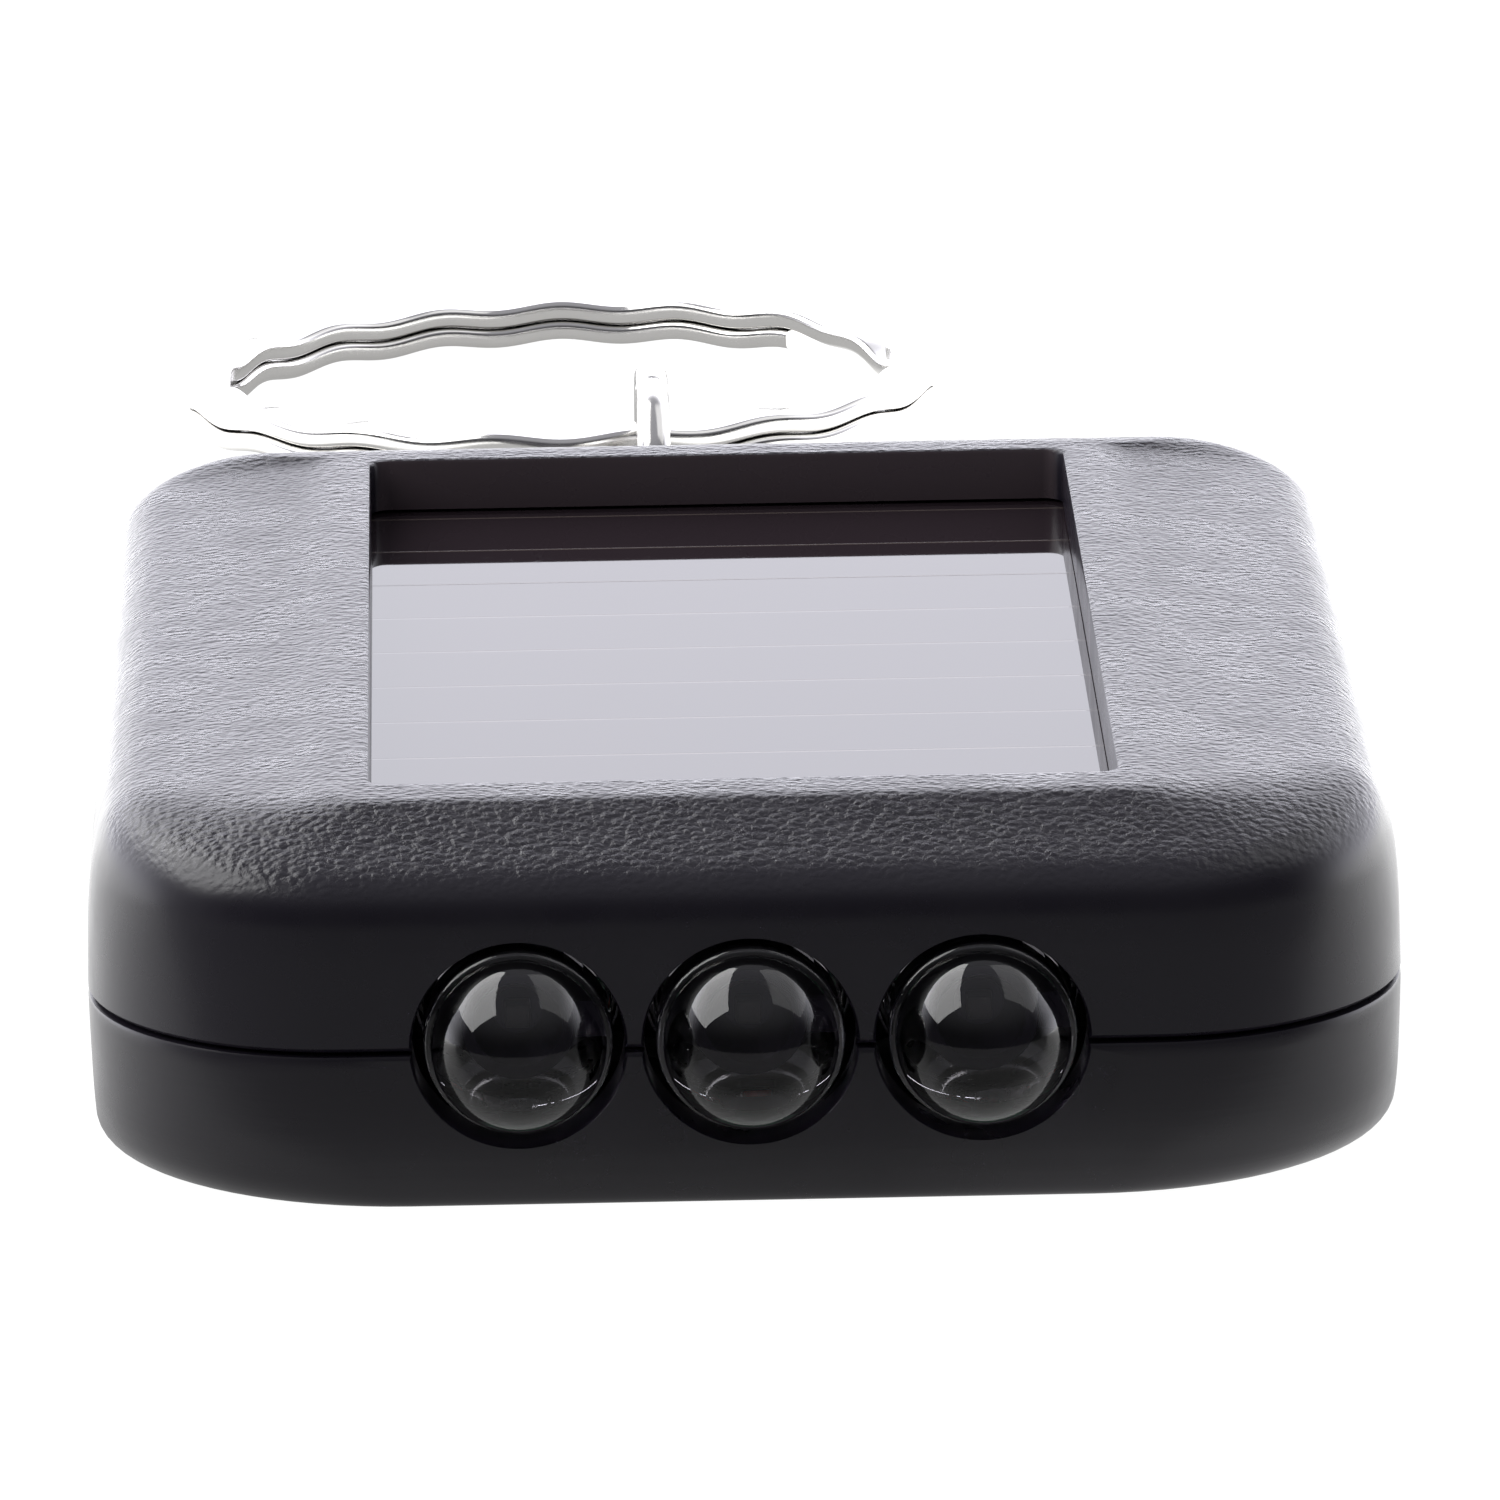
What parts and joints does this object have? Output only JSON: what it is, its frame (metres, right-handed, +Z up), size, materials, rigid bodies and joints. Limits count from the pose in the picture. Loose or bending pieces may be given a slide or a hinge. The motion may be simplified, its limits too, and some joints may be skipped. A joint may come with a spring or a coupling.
{
  "type": "solar key-ring torch",
  "caption": "Palm-sized black clamshell torch with round LEDs across its front end, a solar window in its top and a chain with a split ring behind.",
  "frame": {"origin": "middle of the case's flat underside, on the surface it rests on", "axes": "+Z up through the solar window; -Y is where the LEDs look, +Y towards the chain and ring; +X to the right seen from the LED end"},
  "size_m": [0.0368, 0.1038, 0.0109],
  "materials": {
    "case": "black moulded ABS with a fine leather grain on top",
    "panel_glass": "dark smooth glass, mirror like at a low angle",
    "solar_film": "dark brown amorphous cell strips",
    "foam": "black closed-cell foam tape",
    "clear_epoxy": "water clear",
    "tinned_lead": "tinned",
    "board": "green solder mask",
    "black_epoxy": "moulded black",
    "cell_steel": "nickel-plated steel",
    "gasket": "moulded nylon",
    "nickel": "bright nickel plate",
    "wire_red": "red insulation",
    "wire_black": "black insulation",
    "button": "black, fine matt",
    "plunger": "moulded",
    "screw_steel": "zinc plated"
  },
  "bodies": {
    "housing": {"top_shell": "case", "bottom_shell": "case", "solar_glass": "panel_glass", "solar_cell_film": "solar_film", "panel_foam_frame": "foam", "led_lens_left": "clear_epoxy", "led_lens_centre": "clear_epoxy", "led_lens_right": "clear_epoxy", "led_cathode_left": "tinned_lead", "led_cathode_centre": "tinned_lead", "led_cathode_right": "tinned_lead", "led_anode_left": "tinned_lead", "led_anode_centre": "tinned_lead", "led_anode_right": "tinned_lead", "circuit_board": "board", "led_resistor_left": "black_epoxy", "led_resistor_centre": "black_epoxy", "led_resistor_right": "black_epoxy", "charge_diode": "black_epoxy", "switch_body": "black_epoxy", "battery_can": "cell_steel", "battery_gasket": "gasket", "battery_cap": "cell_steel", "battery_tab_positive": "nickel", "battery_tab_negative": "nickel", "panel_wire_red": "wire_red", "panel_wire_black": "wire_black", "case_screw_left_front": "screw_steel", "case_screw_left_rear": "screw_steel", "case_screw_right_front": "screw_steel", "case_screw_right_rear": "screw_steel"},
    "button": {"button_cap": "button", "switch_plunger": "plunger"},
    "link_1": {"chain_link_1": "nickel"},
    "link_2": {"chain_link_2": "nickel"},
    "link_3": {"chain_link_3": "nickel"},
    "link_4": {"chain_link_4": "nickel"},
    "link_5": {"chain_link_5": "nickel"},
    "key_ring": {"split_ring": "nickel"}
  },
  "joints": [
    {"name": "button_press", "type": "slide", "parent": "housing", "child": "button", "axis": [0, 0, 1], "range_m": [0, 0.00035], "stiffness_N_per_m": 3000},
    {"name": "lug_hinge", "type": "hinge", "parent": "housing", "child": "link_1", "pos_m": [0, 0.026, 0.0026], "axis": [1, 0, 0], "range_deg": [-30, 30]},
    {"name": "link_hinge_1", "type": "hinge", "parent": "link_1", "child": "link_2", "pos_m": [0, 0.0319, 0.0026], "axis": [0, 0, 1], "range_deg": [-38, 38]},
    {"name": "link_hinge_2", "type": "hinge", "parent": "link_2", "child": "link_3", "pos_m": [-0.00093, 0.03794, 0.0026], "axis": [0.9925, 0.1219, 0], "range_deg": [-35, 35]},
    {"name": "link_hinge_3", "type": "hinge", "parent": "link_3", "child": "link_4", "pos_m": [-0.00167, 0.044, 0.0026], "axis": [0, 0, 1], "range_deg": [-38, 38]},
    {"name": "link_hinge_4", "type": "hinge", "parent": "link_4", "child": "link_5", "pos_m": [-0.00149, 0.05011, 0.0026], "axis": [1, 0, 0], "range_deg": [-35, 35]},
    {"name": "key_ring_swing", "type": "hinge", "parent": "link_5", "child": "key_ring", "pos_m": [-0.00149, 0.05621, 0.0026], "axis": [0, 0, 1], "range_deg": [-25, 25]}
  ]
}
